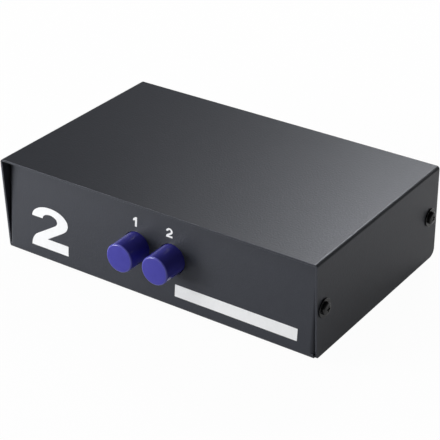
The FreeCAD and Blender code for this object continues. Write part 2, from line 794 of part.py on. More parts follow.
# All pieces, by the names of their nodes
nodes = {
    "top_cover": top_cover(),
    "base_chassis": base_chassis(),
    "cover_screws": cover_screws(),
    "cover_washers": cover_washers(),
    "rubber_feet": rubber_feet(),
    "circuit_board": circuit_board(),
    "board_standoffs": board_standoffs(),
    "board_screws": board_screws(),
    "input_1_jack_block": jack_block(jack_groups[0]),
    "input_2_jack_block": jack_block(jack_groups[1]),
    "output_jack_block": jack_block(jack_groups[2]),
    "jack_ground_plates": jack_ground_plates(),
    "jack_shells": jack_shells(),
    "video_insulators": insulators(jack_offsets[0]),
    "left_audio_insulators": insulators(jack_offsets[1]),
    "right_audio_insulators": insulators(jack_offsets[2]),
    "jack_centre_contacts": jack_centre_contacts(),
    "jack_block_screws": jack_block_screws(),
    "switch_frame": switch_frame(),
    "interlock_slide": interlock_slide(),
    "interlock_spring": interlock_spring(),
}
for number, station in enumerate(stations, 1):
    nodes[f"switch_body_{number}"] = switch_body(station)
    nodes[f"switch_terminals_{number}"] = switch_terminals(station)
    nodes[f"plunger_{number}"] = plunger(station)
    nodes[f"moving_contacts_{number}"] = moving_contacts(station)
    nodes[f"return_spring_{number}"] = return_spring(station)
    nodes[f"button_cap_{number}"] = button_cap(station)

# The origin goes under the middle of the switch, at the feet's soles
middle_y = (cap_face + jack_tip) / 2
to_origin = Vector(0, -middle_y, foot_height)

os.makedirs("parts", exist_ok=True)
for name, made in nodes.items():
    solids = [s for piece in (made if isinstance(made, list) else [made]) for s in piece.Solids]
    for solid in solids:
        if solid.Volume < 0:
            solid.reverse()
    shape = solids[0] if len(solids) == 1 else Part.makeCompound(solids)
    shape.translate(to_origin)
    shape.exportStep(f"parts/{name}.step")
    box = shape.BoundBox
    print(f"{name}: {len(solids)} solids, {box.XLength:.1f} x {box.YLength:.1f} x {box.ZLength:.1f} mm,"
          f" valid {all(s.isValid() for s in solids)}")
print(f"moved by y {-middle_y:.3f}, z {foot_height:.3f}")
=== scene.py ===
# %% [markdown]
# # A two-way video switch
# The object is a low box of black painted sheet steel. Two round blue push buttons stand
# out of the leaning front panel, and nine phono sockets sit in a row behind. The
# construction arrives finished as a frame of separate nodes in real metres, so this script
# adds only what the eye reads: eased edges, screw recesses, printed figures, coil springs,
# and a finish for every surface.

# %% Load the frame
import json
import math
import bmesh
import bpy
from mathutils import Matrix, Vector
from mathutils.bvhtree import BVHTree


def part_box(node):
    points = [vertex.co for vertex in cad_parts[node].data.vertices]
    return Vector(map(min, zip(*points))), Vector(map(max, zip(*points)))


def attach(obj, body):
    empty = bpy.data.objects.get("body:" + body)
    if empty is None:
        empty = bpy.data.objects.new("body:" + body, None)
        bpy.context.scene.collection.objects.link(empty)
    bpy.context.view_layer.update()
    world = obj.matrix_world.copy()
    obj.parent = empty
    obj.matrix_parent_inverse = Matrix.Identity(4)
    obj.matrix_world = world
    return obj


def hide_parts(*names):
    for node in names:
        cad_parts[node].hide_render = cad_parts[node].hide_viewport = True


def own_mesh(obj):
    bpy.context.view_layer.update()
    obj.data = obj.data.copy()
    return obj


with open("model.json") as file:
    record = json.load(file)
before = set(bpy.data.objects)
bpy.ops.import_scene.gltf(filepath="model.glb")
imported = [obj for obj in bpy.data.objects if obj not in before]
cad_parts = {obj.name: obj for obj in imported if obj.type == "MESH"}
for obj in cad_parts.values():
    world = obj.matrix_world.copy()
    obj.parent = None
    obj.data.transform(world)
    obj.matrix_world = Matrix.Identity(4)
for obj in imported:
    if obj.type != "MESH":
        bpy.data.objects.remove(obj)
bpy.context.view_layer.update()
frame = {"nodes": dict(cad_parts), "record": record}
nodes = frame["nodes"]
mm = 0.001

# %% [markdown]
# ## The camera
# The photograph looks down on the right front corner from a little over half a metre with a
# long lens, which keeps the edges nearly parallel. A camera is easiest to place from the
# subject outwards: turn round it by an azimuth, rise by an elevation, and step back by the
# distance. The aim is a point on the cover's middle line, shifted in the picture's own
# right and up directions until the framing agrees.

# %% Camera
azimuth, elevation = math.radians(34.445), math.radians(29.01)
distance = 545.4 * mm
lens_length, sensor = 122.9, 36.0
lid_depth = 84 * mm
aim_below_lid = 17.87 * mm
aim_right, aim_up = 0.372 * mm, -4.912 * mm

back = Vector((math.sin(azimuth) * math.cos(elevation),
               -math.cos(azimuth) * math.cos(elevation), math.sin(elevation)))
right = Vector((math.cos(azimuth), math.sin(azimuth), 0))
up = back.cross(right)
cover_low, cover_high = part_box("top_cover")
lid_middle = Vector((0, cover_low.y + lid_depth / 2, cover_high.z))
aim = lid_middle - Vector((0, 0, aim_below_lid)) + right * aim_right + up * aim_up
facing = Matrix((right, up, back)).transposed().to_4x4()

camera = bpy.data.objects.new("camera", bpy.data.cameras.new("camera"))
camera.data.lens = lens_length
camera.data.sensor_width = sensor
camera.matrix_world = Matrix.Translation(aim + back * distance) @ facing
bpy.context.scene.collection.objects.link(camera)
bpy.context.scene.camera = camera
print("camera at", [round(v, 4) for v in camera.location])

# %% [markdown]
# ## Writing shaders as sums
# A node tree is hard to read as a list of links. Here a Wire wraps an output socket, and
# the usual signs add the Math nodes: `1 - mask` or `grain * 0.2 + 0.4` read as what they
# do. A Tree adds nodes: one method takes any kind, its settings and its sockets, and a few
# short ones name what is used often. A Finish is a material's tree, with a Principled
# surface that everything feeds.

# %% Wire, Tree and Finish
class Wire:
    """An output socket on which + - * add Math nodes."""

    def __init__(self, owner, socket):
        self.owner, self.socket = owner, socket

    def sum(self, operation, a, b):
        return self.owner.node("ShaderNodeMath", {"operation": operation}, {0: a, 1: b})

    def __add__(self, other):
        return self.sum("ADD", self, other)

    def __sub__(self, other):
        return self.sum("SUBTRACT", self, other)

    def __rsub__(self, other):
        return self.sum("SUBTRACT", other, self)

    def __mul__(self, other):
        return self.sum("MULTIPLY", self, other)


class Tree:
    """A node tree, and the short ways to add to it."""

    def __init__(self, tree):
        self.tree = tree

    def feed(self, node, socket, value):
        if isinstance(value, Wire):
            self.tree.links.new(value.socket, node.inputs[socket])
        else:
            node.inputs[socket].default_value = value

    def node(self, kind, settings=None, sockets=None, output=0):
        made = self.tree.nodes.new(kind)
        for name, value in (settings or {}).items():
            setattr(made, name, value)
        for socket, value in (sockets or {}).items():
            self.feed(made, socket, value)
        return Wire(self, made.outputs[output])

    def grain(self, size):
        """Noise whose lumps are about this long, fixed to the piece."""
        place = self.node("ShaderNodeTexCoord", output="Object")
        return self.node("ShaderNodeTexNoise", {},
                         {"Vector": place, "Scale": 1 / size, "Detail": 2.0})

    def blend(self, share, a, b):
        """A colour between two colours."""
        return self.node("ShaderNodeMix", {"data_type": "RGBA"}, {0: share, 6: a, 7: b}, output=2)

    def agreement(self, a, b):
        """1 where two directions are the same, falling as they turn apart."""
        return self.node("ShaderNodeVectorMath", {"operation": "DOT_PRODUCT"}, {0: a, 1: b},
                         output=1)

    def ramp(self, value, low, high):
        """0 below low, 1 above high, and an even climb between."""
        return self.node("ShaderNodeMapRange", {},
                         {"Value": value, "From Min": low, "From Max": high})


class Finish(Tree):
    """A material whose Principled surface everything feeds."""

    def __init__(self, name, constants):
        self.material = bpy.data.materials.new(name)
        self.material.use_nodes = True
        super().__init__(self.material.node_tree)
        self.surface = self.tree.nodes["Principled BSDF"]
        for socket, value in constants.items():
            self.feed(self.surface, socket, value)

    def colour(self, value):
        self.feed(self.surface, "Base Color", value)

    def pigment(self, size, dark, light):
        """Colours the surface between two tones that change over this size."""
        tone = self.blend(self.grain(size), dark, light)
        self.colour(tone)
        return tone

    def rough(self, base, spread, size):
        self.feed(self.surface, "Roughness", self.grain(size) * (2 * spread) + (base - spread))

    def bumps(self, height, depth):
        bump = self.node("ShaderNodeBump", {},
                         {"Height": height, "Distance": depth, "Strength": 1.0})
        self.feed(self.surface, "Normal", bump)


finishes = {}


def grey(level, warmth=0.0):
    """A linear grey; warmth above zero leans to yellow and below zero to blue."""
    return (level * (1 + warmth), level, level * (1 - warmth), 1.0)


# %% [markdown]
# ## Black case paint
# The cover and chassis are sprayed with a satin black whose grain shows as a faint
# mottling in the photograph. What matters most is its broad, soft reflection, with a cool
# tint. So the colour is nearly black with a trace of blue, the roughness sits in the middle,
# and a noise bump breaks the reflection up as the real grain does. Every edge of the sheet
# is painted lighter: paint draws back from a cut edge, and the rest is a painted highlight
# where the rounded edge catches the light. The Bevel node finds the edge: its normal is
# turned near an edge, so how far it leaves the surface's own normal is the mask.

# %% Case paint
cool_tint = (0.84, 0.88, 1, 1)
paint_dark, paint_light = (0.0200, 0.0216, 0.0265, 1), (0.0245, 0.0264, 0.0325, 1)
# The lighter edge colour: thinner paint at the edges and a painted highlight where they catch the
# light.
thin_paint_and_highlight = (0.075, 0.079, 0.095, 1)
edge_width = 0.35 * mm

paint = Finish("satin black paint",
               {"IOR": 1.5, "Specular IOR Level": 0.5, "Specular Tint": cool_tint})
rounded = paint.node("ShaderNodeBevel", {"samples": 6}, {"Radius": edge_width})
plain = paint.node("ShaderNodeNewGeometry", output="Normal")
# Edge mask for the lighter edge colour, partly thin paint and partly painted highlight.
edge_wear_and_highlight = paint.ramp(1 - paint.agreement(rounded, plain), low=0.02, high=0.16)
even = paint.pigment(4 * mm, paint_dark, paint_light)
paint.colour(paint.blend(edge_wear_and_highlight, even, thin_paint_and_highlight))
paint.rough(0.37, spread=0.03, size=1.5 * mm)
paint.bumps(paint.grain(0.7 * mm), depth=0.05 * mm)
finishes["case_paint"] = paint
print("paint:", len(paint.tree.nodes), "nodes")

# %% [markdown]
# ## Screws, feet and printed ink
# The cover screws are blackened steel, oiled and glossier than the paint. The feet are dull
# rubber. The ink is screen printed: thick white with a slightly uneven coverage, so its
# colour drifts by a few percent over a millimetre or so.

# %% Screw steel, rubber and ink
screw_black = Finish("blackened steel", {"IOR": 1.5, "Specular IOR Level": 0.45})
screw_black.pigment(0.8 * mm, grey(0.005, -0.1), grey(0.010, -0.1))
screw_black.rough(0.11, spread=0.02, size=0.4 * mm)
finishes["screw_steel"] = screw_black

rubber = Finish("foot rubber", {"Specular IOR Level": 0.3})
rubber.pigment(0.6 * mm, grey(0.018), grey(0.03))
rubber.rough(0.75, spread=0.05, size=0.5 * mm)
rubber.bumps(rubber.grain(0.25 * mm), depth=0.02 * mm)
finishes["foot_rubber"] = rubber

ink = Finish("screen ink", {"Specular IOR Level": 0.4})
ink.pigment(1.2 * mm, grey(0.80, -0.01), grey(0.86, -0.01))
ink.rough(0.5, spread=0.05, size=0.3 * mm)
finishes["ink"] = ink

# %% [markdown]
# ## Moulded plastics
# One recipe serves them all: a base colour that drifts a little as pigment does, a faint
# moulded bump and a satin gloss. The buttons get a deeper violet blue and a smoother skin.
# The round rim is painted paler than the rest, a painted reflection of the floor and sky, so
# their colour asks which way the skin faces: the face looks forward, the side looks
# outwards, and the rim is what lies between.

# %% Plastics
def moulding(slot, name, dark, light, roughness, bump=0.006 * mm, gloss=0.4):
    """A finish of moulded plastic, and the tone that colours it."""
    made = Finish(name, {"IOR": 1.49, "Specular IOR Level": gloss})
    tone = made.pigment(2.5 * mm, dark, light)
    made.rough(roughness, spread=0.04, size=0.8 * mm)
    made.bumps(made.grain(0.3 * mm), depth=bump)
    finishes[slot] = made
    return made, tone


violet_dark, violet_light = (0.041, 0.038, 0.285, 1), (0.051, 0.047, 0.330, 1)
# The paler rim colour is a painted reflection of the floor and sky.
violet_rim_reflection, rim_reflection_share = (0.14, 0.14, 0.50, 1), 0.5
buttons, violet = moulding("button_plastic", "violet blue button", violet_dark, violet_light,
                           roughness=0.17, bump=0.002 * mm, gloss=0.32)
faces_front = buttons.agreement(buttons.node("ShaderNodeTexCoord", output="Normal"), (0, -1, 0))
past_side = buttons.ramp(faces_front, low=0.15, high=0.4)
on_face = buttons.ramp(faces_front, low=0.93, high=0.99)
# Paints the rim paler than the face and side: a painted reflection.
buttons.colour(buttons.blend(past_side * (1 - on_face) * rim_reflection_share, violet, violet_rim_reflection))

moulding("block_plastic", "black socket body", grey(0.018), grey(0.028), 0.45)
moulding("switch_plastic", "black switch body", grey(0.025), grey(0.035), 0.42)
moulding("plunger_plastic", "natural plunger", grey(0.66, 0.04), grey(0.72, 0.04), 0.38)
moulding("yellow_plastic", "yellow socket ring", (0.78, 0.50, 0.02, 1), (0.84, 0.56, 0.03, 1), 0.33)
moulding("white_plastic", "white socket ring", grey(0.74, 0.02), grey(0.80, 0.02), 0.33)
moulding("red_plastic", "red socket ring", (0.56, 0.022, 0.018, 1), (0.64, 0.03, 0.022, 1), 0.33)

# %% [markdown]
# ## Bright metals
# Plated parts are never mirror clean: the plating varies and handling leaves faint marks.
# Roughness carries that, and a stretched grain would show a rolling direction, which the
# small stamped parts here don't need.

# %% Metals
def plating(slot, name, dark, light, roughness):
    made = Finish(name, {"Metallic": 1.0})
    made.pigment(1.5 * mm, dark, light)
    made.rough(roughness, spread=0.07, size=0.7 * mm)
    made.bumps(made.grain(0.12 * mm), depth=0.002 * mm)
    finishes[slot] = made


plating("sleeve_nickel", "nickel plating", grey(0.66, 0.03), grey(0.76, 0.03), 0.27)
plating("spacer_steel", "zinc plating", grey(0.55, -0.02), grey(0.66, -0.02), 0.32)
plating("frame_steel", "zinc plated sheet", grey(0.52, -0.01), grey(0.64, -0.01), 0.35)
plating("spring_steel", "spring wire", grey(0.45), grey(0.55), 0.28)
plating("contact_brass", "plated brass", (0.62, 0.50, 0.26, 1), (0.72, 0.58, 0.32, 1), 0.27)

# %% [markdown]
# ## Circuit board
# The laminate is the brown paper kind. Its weave is too fine to see, so the board gets long
# soft fibres from a noise that is squeezed along one direction, under a thin lacquer.

# %% Board laminate
along_fibres = (0.15, 1, 1)
fibre_width = 0.8 * mm
laminate_dark, laminate_light = (0.275, 0.148, 0.056, 1), (0.325, 0.177, 0.069, 1)

board = Finish("brown laminate", {"Coat Weight": 0.3, "Coat Roughness": 0.3})
squeezed = board.node("ShaderNodeVectorMath", {"operation": "MULTIPLY"},
                      {0: board.node("ShaderNodeTexCoord", output="Object"), 1: along_fibres})
fibres = board.node("ShaderNodeTexNoise", {},
                    {"Vector": squeezed, "Scale": 1 / fibre_width, "Detail": 4.0})
board.colour(board.blend(fibres, laminate_dark, laminate_light))
board.rough(0.5, spread=0.05, size=2 * mm)
board.bumps(fibres, depth=0.01 * mm)
finishes["board_laminate"] = board
print("finishes:", ", ".join(finishes))

# %% [markdown]
# ## Copies that stand for their nodes
# The frame's meshes must not change, so whatever gets more shape is a copy of its node. It
# rides on the same body, takes the finish of the same slot, and stands for the node. These
# few functions do the common work: weld a copy, read a mesh off a piece or a curve, and put
# a new piece in its place.

# %% Copies and pieces
weld = 0.001 * mm
sharp_angle = math.radians(32)
record = frame["record"]
slot_of = {row["node"]: row["material_slot"] for row in record["subparts"]}
body_of = {name: body for body, members in record["behaviour"]["bodies"].items()
           for name in members}


def welded(node):
    """A working copy of a node's mesh, with the corners that coincide joined."""
    work = bmesh.new()
    work.from_mesh(nodes[node].data)
    bmesh.ops.remove_doubles(work, verts=work.verts, dist=weld)
    return work


def mesh_from(work, name):
    mesh = bpy.data.meshes.new(name)
    work.to_mesh(mesh)
    work.free()
    return mesh


def shown_mesh(piece):
    """A new mesh of what a piece shows, with its modifiers applied."""
    bpy.context.view_layer.update()
    shown = piece.evaluated_get(bpy.context.evaluated_depsgraph_get())
    return bpy.data.meshes.new_from_object(shown)


def curve_mesh(name, curve):
    """The mesh of a drawn curve."""
    drawn = bpy.data.objects.new(name, curve)
    bpy.context.scene.collection.objects.link(drawn)
    mesh = shown_mesh(drawn)
    bpy.data.objects.remove(drawn)
    return mesh


def placed(name, mesh, slot, body, *stands_for):
    """Links a mesh as a piece: its finish, the body that it rides on, the nodes it stands for."""
    piece = bpy.data.objects.new(name, mesh)
    bpy.context.scene.collection.objects.link(piece)
    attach(piece, body)
    if stands_for:
        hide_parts(*stands_for)
    piece.data.materials.clear()
    piece.data.materials.append(finishes[slot].material)
    return piece


# %% [markdown]
# ## Eased edges
# Every real edge has a small radius: punched sheet is rolled over on one side, mouldings
# have draft and flash, turned parts are broken with a file. That radius catches the light,
# and a knife edge looks like plastic film. A welded copy is cleaned of its flat triangles,
# and then its sharp edges are bevelled.

# %% Copies with eased edges
flat_angle = math.radians(0.4)
easing = {  # node: radius in millimetres and steps
    "top_cover": (0.28, 3), "base_chassis": (0.14, 2),
    "rubber_feet": (0.45, 3), "cover_washers": (0.16, 3),
    "plunger_1": (0.12, 2), "switch_body_1": (0.15, 2),
    "plunger_2": (0.12, 2), "switch_body_2": (0.15, 2),
    "jack_shells": (0.12, 3), "video_insulators": (0.12, 3),
    "left_audio_insulators": (0.12, 3), "right_audio_insulators": (0.12, 3),
    "input_1_jack_block": (0.2, 2), "input_2_jack_block": (0.2, 2),
    "output_jack_block": (0.2, 2), "switch_frame": (0.12, 2),
    "interlock_slide": (0.12, 2), "circuit_board": (0.1, 2),
}

for node, (radius, steps) in easing.items():
    work = welded(node)
    bmesh.ops.dissolve_limit(work, angle_limit=flat_angle, verts=work.verts, edges=work.edges)
    mesh = mesh_from(work, f"{node}_eased")
    mesh.shade_smooth()
    piece = placed(f"{node}_eased", mesh, slot_of[node], body_of[node], node)
    bevel = piece.modifiers.new("eased edges", "BEVEL")
    bevel.width, bevel.segments = radius * mm, steps
    bevel.limit_method, bevel.angle_limit = "ANGLE", sharp_angle
    flat_faces = piece.modifiers.new("flat faces", "WEIGHTED_NORMAL")
    flat_faces.weight, flat_faces.keep_sharp = 100, False
    whole = shown_mesh(piece)
    piece.modifiers.clear()
    piece.data = whole
    print(f"{piece.name}: {len(piece.data.polygons)} faces")

# %% [markdown]
# ## Button caps
# A cap is a turned shape: a slightly crowned face that rolls over a rim into a tapered side.
# Its mesh is made of small flat faces, and a glossy plastic shows every one of them. The
# cure is to give each corner the direction that the true surface has there, which follows
# from the crown's sphere, the rim's ring and the side's cone.

# %% Smooth caps
cap_radius, cap_crown, cap_rounding, cap_taper = 5.42 * mm, 0.25 * mm, 0.7 * mm, 0.01
crown_radius = (cap_radius ** 2 + cap_crown ** 2) / (2 * cap_crown)
rim_radius = cap_radius - cap_rounding
rim_depth = crown_radius - math.sqrt((crown_radius - cap_rounding) ** 2 - rim_radius ** 2)
same_way = 0.8  # the least agreement of a face with the true surface


def skin_direction(radius, depth):
    """Which way the cap's skin faces, outwards and backwards.
    It goes by the radius and the depth behind the middle of the face."""
    if depth > rim_depth:
        return (1.0, -cap_taper) if radius > rim_radius else None
    if radius > rim_radius * crown_radius / (crown_radius - cap_rounding):
        return radius - rim_radius, depth - rim_depth
    return radius, depth - crown_radius


def smooth_cap(node):
    mesh = mesh_from(welded(node), f"{node}_smooth")
    mesh.shade_smooth()
    mesh.set_sharp_from_angle(angle=sharp_angle)
    low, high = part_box(node)
    axis = Vector(((low.x + high.x) / 2, low.y, (low.z + high.z) / 2))
    directions = [corner.vector.copy() for corner in mesh.corner_normals]
    for face in mesh.polygons:
        for corner in face.loop_indices:
            arm = mesh.vertices[mesh.loops[corner].vertex_index].co - axis
            depth, arm.y = arm.y, 0
            skin = skin_direction(arm.length, depth)
            if skin:
                true = (arm.normalized() * skin[0] + Vector((0, skin[1], 0))).normalized()
                if true.dot(face.normal) > same_way:
                    directions[corner] = true
    mesh.normals_split_custom_set(directions)
    placed(f"{node}_smooth", mesh, slot_of[node], body_of[node], node)
    print(f"{node}: {len(mesh.polygons)} faces, smoothed")


for number in (1, 2):
    smooth_cap(f"button_cap_{number}")

# %% [markdown]
# ## Pan head screws with a cross recess
# The nodes hold plain turned screws. On the real ones the cross recess is what says
# "screw". The head is a profile spun about its axis, domed on top, and a tapered cross is
# cut out of it with a boolean. One mesh serves a whole group: it is copied to the place of
# each solid, which is read from the node itself. No two screws stop at the same turn.

# %% Screw heads
spin_steps, dome_step = 48, 5                   # steps round a screw, degrees over its dome
dome_share = 0.45                               # of the head's height
head_edge, point_length, point_share = 0.1 * mm, 0.3 * mm, 0.8
cross_reach, cross_width, cross_depth = 0.62, 0.13, 0.55    # shares of head radius and height
cross_taper = 0.55                              # the cross's length at its bottom
first_turn, turn_between = 23, 31               # degrees


def solids_of(node):
    """The lowest and highest corners of each separate solid in a node, always in one order."""
    work = welded(node)
    left, boxes = set(work.verts), []
    while left:
        edge_of_search, found = [left.pop()], []
        while edge_of_search:
            vert = edge_of_search.pop()
            found.append(vert.co.copy())
            for edge in vert.link_edges:
                other = edge.other_vert(vert)
                if other in left:
                    left.remove(other)
                    edge_of_search.append(other)
        boxes.append((Vector(map(min, zip(*found))), Vector(map(max, zip(*found)))))
    work.free()
    return sorted(boxes, key=lambda box: tuple(box[0]))


def spun(profile):
    """A closed mesh turned about Z from points (radius, height)."""
    work = bmesh.new()
    angles = [2 * math.pi * k / spin_steps for k in range(spin_steps)]
    rings = []
    for radius, height in profile:
        if radius == 0:
            rings.append([work.verts.new((0, 0, height))] * spin_steps)
        else:
            rings.append([work.verts.new((radius * math.cos(a), radius * math.sin(a), height))
                          for a in angles])
    for low_ring, high_ring in zip(rings, rings[1:]):
        for k in range(spin_steps):
            after = (k + 1) % spin_steps
            corners = [low_ring[k], low_ring[after], high_ring[after], high_ring[k]]
            work.faces.new(list(dict.fromkeys(corners)))
    bmesh.ops.recalc_face_normals(work, faces=work.faces)
    return work


def cross_cutter(half_length, half_width, depth, top):
    """A tapered cross that stands on the head's axis and reaches down into it."""
    work = bmesh.new()
    for turn in (0, math.pi / 2):
        made = bmesh.ops.create_cube(work, size=1.0)["verts"]
        for vert in made:
            narrow = cross_taper if vert.co.z < 0 else 1.0
            vert.co = Vector((vert.co.x * 2 * half_length * narrow, vert.co.y * 2 * half_width,
                              top + vert.co.z * 2 * depth))
        bmesh.ops.rotate(work, verts=made, cent=(0, 0, 0), matrix=Matrix.Rotation(turn, 3, "Z"))
    return work


def screw_mesh(name, head, height, shank, length):
    """A pan head screw whose seat is at height 0; head and shank are radii."""
    crown = dome_share * height
    point = [(0, -length), (point_share * shank, -length), (shank, -length + point_length)]
    seat = [(shank, 0), (head - head_edge, 0), (head, head_edge)]
    dome = [(head * math.cos(a), height - crown + crown * math.sin(a))
            for a in map(math.radians, range(0, 90, dome_step))]
    body = mesh_from(spun(point + seat + dome + [(0, height)]), name)
    cross = cross_cutter(cross_reach * head, cross_width * head, cross_depth * height, height)
    blank = bpy.data.objects.new(name, body)
    tool = bpy.data.objects.new("cross", mesh_from(cross, "cross"))
    for each in (blank, tool):
        bpy.context.scene.collection.objects.link(each)
    cut = blank.modifiers.new("recess", "BOOLEAN")
    cut.object, cut.operation, cut.solver = tool, "DIFFERENCE", "EXACT"
    cut.use_self = True
    mesh = shown_mesh(blank)
    for each in (blank, tool):
        bpy.data.objects.remove(each)
    return mesh


def screw_group(node, way_of, head, height, shank):
    """Screws at the solids of a node. way_of gives the direction that a head points in."""
    boxes = solids_of(node)
    axis = max(range(3), key=lambda k: abs(way_of(boxes[0])[k]))
    length = (boxes[0][1] - boxes[0][0])[axis] - height
    single = screw_mesh(node, head, height, shank, length)
    work = bmesh.new()
    for number, box in enumerate(boxes):
        way = way_of(box)
        seat = (box[0] + box[1]) / 2 + way * ((box[1] - box[0])[axis] / 2 - height)
        turn = Matrix.Rotation(math.radians(first_turn + turn_between * number), 4, "Z")
        upright = way.to_track_quat("Z", "Y").to_matrix().to_4x4()
        copy = single.copy()
        copy.transform(Matrix.Translation(seat) @ upright @ turn)
        work.from_mesh(copy)
        bpy.data.meshes.remove(copy)
    mesh = mesh_from(work, f"{node}_cut")
    mesh.shade_smooth()
    mesh.set_sharp_from_angle(angle=sharp_angle)
    placed(f"{node}_cut", mesh, slot_of[node], body_of[node], node)
    print(f"{node}: {len(boxes)} screws")


def outwards(box):
    return Vector((math.copysign(1, box[0].x + box[1].x), 0, 0))


def backwards(box):
    return Vector((0, 1, 0))


def upwards(box):
    return Vector((0, 0, 1))


screw_group("cover_screws", outwards, head=2.3 * mm, height=1.3 * mm, shank=1.5 * mm)
screw_group("jack_block_screws", backwards, head=2.3 * mm, height=1.7 * mm, shank=1.25 * mm)
screw_group("board_screws", upwards, head=2.5 * mm, height=1.6 * mm, shank=1.25 * mm)

# %% [markdown]
# ## Printed figures
# The front carries white screen print: a small figure over each button, a large figure at
# the left and a bar at the right. Only plain figures and plain shapes are printed here.
# Each is a flat outline, drawn from straight lines and arcs, given a film's thickness and
# laid on the panel. The panel leans, so its plane is found with two rays from the front.

# %% The panel's plane
front_of_all = 1.0
chassis = nodes["base_chassis"].data
chassis_tree = BVHTree.FromPolygons([vert.co.copy() for vert in chassis.vertices],
                                    [list(face.vertices) for face in chassis.polygons])


def panel_point(x, z):
    return chassis_tree.ray_cast(Vector((x, -front_of_all, z)), Vector((0, 1, 0)))[0]


floor_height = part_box("base_chassis")[0].z
probe_x, probe_low, probe_high = 25 * mm, 10 * mm, 30 * mm
rise = (panel_point(probe_x, probe_high) - panel_point(probe_x, probe_low)).normalized()
outward = Vector((1, 0, 0)).cross(rise)
print("panel leans back by", round(math.degrees(math.asin(rise.y)), 2), "degrees")

# %% Outlines of the figures
crotch_share, heel_share = 0.437, 0.29          # of a 2's width
flag_drop = 0.24                                # of a 1's height
flag_top, flag_end, flag_root = 0.75, 0.8, 0.55     # of a 1's stroke


def arc(centre, across, high, start, end, steps=28):
    """Points of an ellipse, from one angle to another."""
    angles = [start + (end - start) * k / steps for k in range(steps + 1)]
    return [Vector((centre.x + across * math.cos(a), centre.y + high * math.sin(a)))
            for a in angles]


def figure_two(width, height, bowl, side, top, foot, reach):
    """A bowl between two ellipses, then a straight diagonal, a round heel and a flat foot.
    bowl is the outer ellipse's half height; side, top and foot are the thicknesses there,
    and reach is the foot's length."""
    across = width / 2
    centre = Vector((across, height - bowl))
    crotch = Vector((crotch_share * width, foot))
    scaled = Vector(((crotch.x - centre.x) / across, (crotch.y - centre.y) / bowl))
    outer_end = math.atan2(scaled.y, scaled.x) + math.acos(1 / scaled.length)
    outer = arc(centre, across, bowl, math.pi, outer_end)
    slope = (outer[-1].y - crotch.y) / (outer[-1].x - crotch.x)
    inner_end = -math.atan((bowl - top) / (slope * (across - side)))
    inner = arc(centre, across - side, bowl - top, math.pi, inner_end)
    start_height = inner[-1].y - slope * inner[-1].x
    heel = heel_share * width
    rise_there = slope * heel + start_height
    heel_height = math.sqrt(rise_there ** 2 - (slope * heel) ** 2)
    touch = math.atan2(heel_height / rise_there, -slope * heel / rise_there)
    round_heel = arc(Vector((heel, 0)), heel, heel_height, math.pi, touch)
    return outer + [crotch, Vector((reach, foot)), Vector((reach, 0))] + round_heel + inner[::-1]


def figure_one(width, height, stroke):
    """A stem with a short flag."""
    tip, stem = height - height * flag_drop, width - stroke
    return [Vector(point) for point in (
        (stem, 0), (width, 0), (width, height), (width - stroke * flag_top, height),
        (0, tip), (0, tip - stroke * flag_end), (stem, tip - stroke * flag_root))]


def bar(width, height, corner):
    """A plain block with small rounded corners."""
    far, high = width - corner, height - corner
    centres = ((far, high), (corner, high), (corner, corner), (far, corner))
    points = []
    for quarter, centre in enumerate(centres):
        start = quarter * math.pi / 2
        points += arc(Vector(centre), corner, corner, start, start + math.pi / 2, steps=6)
    return points


# %% Lay the ink on the panel
film = 0.035 * mm


def print_on_panel(name, outline, left, bottom):
    """Turns an outline into a film of ink with its lower left corner at a place on the panel."""
    curve = bpy.data.curves.new(name, "CURVE")
    curve.dimensions, curve.fill_mode, curve.extrude = "2D", "BOTH", film / 2
    line = curve.splines.new("POLY")
    line.points.add(len(outline) - 1)
    for corner, place in zip(line.points, outline):
        corner.co = (place.x, place.y, 0, 1)
    line.use_cyclic_u = True
    mesh = curve_mesh(name, curve)
    origin = panel_point(left, bottom + floor_height) + outward * (film / 2)
    axes = Matrix((Vector((1, 0, 0)), rise, outward)).transposed().to_4x4()
    mesh.transform(Matrix.Translation(origin) @ axes)
    placed(name, mesh, "ink", body_of["base_chassis"])


small_one = figure_one(width=1.7 * mm, height=3.6 * mm, stroke=0.8 * mm)
small_two = figure_two(width=2.7 * mm, height=3.45 * mm, bowl=1.2 * mm, side=0.78 * mm,
                       top=0.66 * mm, foot=0.68 * mm, reach=2.7 * mm)
large_two = figure_two(width=16.6 * mm, height=16.4 * mm, bowl=4.8 * mm, side=4.9 * mm,
                       top=2.65 * mm, foot=3.9 * mm, reach=17.0 * mm)
plain_bar = bar(width=49.5 * mm, height=4.6 * mm, corner=0.15 * mm)
print_on_panel("figure_1", small_one, left=-9.05 * mm, bottom=25.9 * mm)
print_on_panel("figure_2", small_two, left=5.1 * mm, bottom=26.2 * mm)
print_on_panel("large_figure_2", large_two, left=-54.65 * mm, bottom=4.85 * mm)
print_on_panel("plain_bar", plain_bar, left=9.6 * mm, bottom=4.75 * mm)
print("ink: two small figures, one large figure and a bar")

# %% [markdown]
# ## Springs
# Each plunger is pushed out by a coil spring, and a small one returns the latch plate. A
# spring is a helix with its end turns closed up flat. It is drawn as a curve with a round
# section and turned into a mesh. When the button goes in, the spring has to shorten; here
# each coil keeps its rest length, and its pressed length is only printed.

# %% Coil springs
steps_a_turn = 24
closed_turns = 0.75             # at each end
closed_rise = 0.9               # of the wire, over a closed end
turns = 5
x_axis, y_axis = 0, 1


